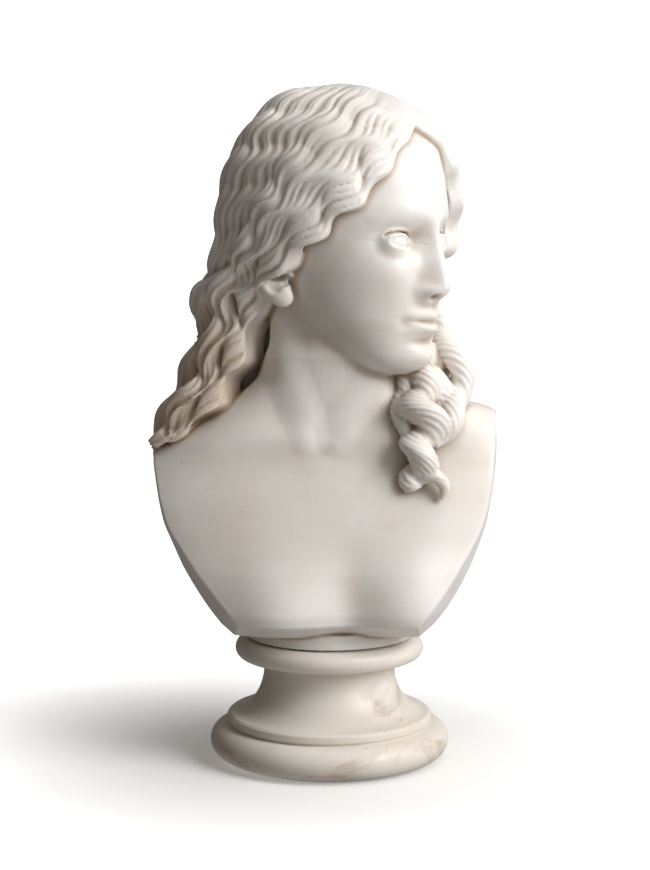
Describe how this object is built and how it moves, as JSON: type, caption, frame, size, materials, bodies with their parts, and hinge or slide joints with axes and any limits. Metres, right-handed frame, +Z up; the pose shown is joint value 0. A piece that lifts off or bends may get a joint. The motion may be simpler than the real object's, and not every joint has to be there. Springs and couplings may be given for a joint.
{
  "type": "marble bust",
  "caption": "Carved marble bust with long wavy hair and a trimmed chest, held by a tie rod to a turned marble socle and turning about it.",
  "frame": {"origin": "centre of the felt disc's underside, on the tie rod's axis, at the surface the bust stands on", "axes": "+Z up along the tie rod, -Y the way the chest faces, +X the sitter's left side"},
  "size_m": [0.3038, 0.2198, 0.58],
  "materials": {
    "bust_marble": "satin",
    "socle_marble": "satin",
    "iron": "matte",
    "lead": "matte",
    "felt": "matte"
  },
  "bodies": {
    "socle_body": {"socle": "socle_marble", "lead_shim": "lead", "felt_disc": "felt"},
    "bust_body": {"bust_block": "bust_marble", "tie_rod": "iron", "rod_lead": "lead", "rod_washer": "iron", "rod_nut": "iron"}
  },
  "joints": [
    {"name": "bust_turn", "type": "hinge", "parent": "socle_body", "child": "bust_body", "pos_m": [0, 0, 0.106], "axis": [0, 0, 1], "continuous": true}
  ]
}
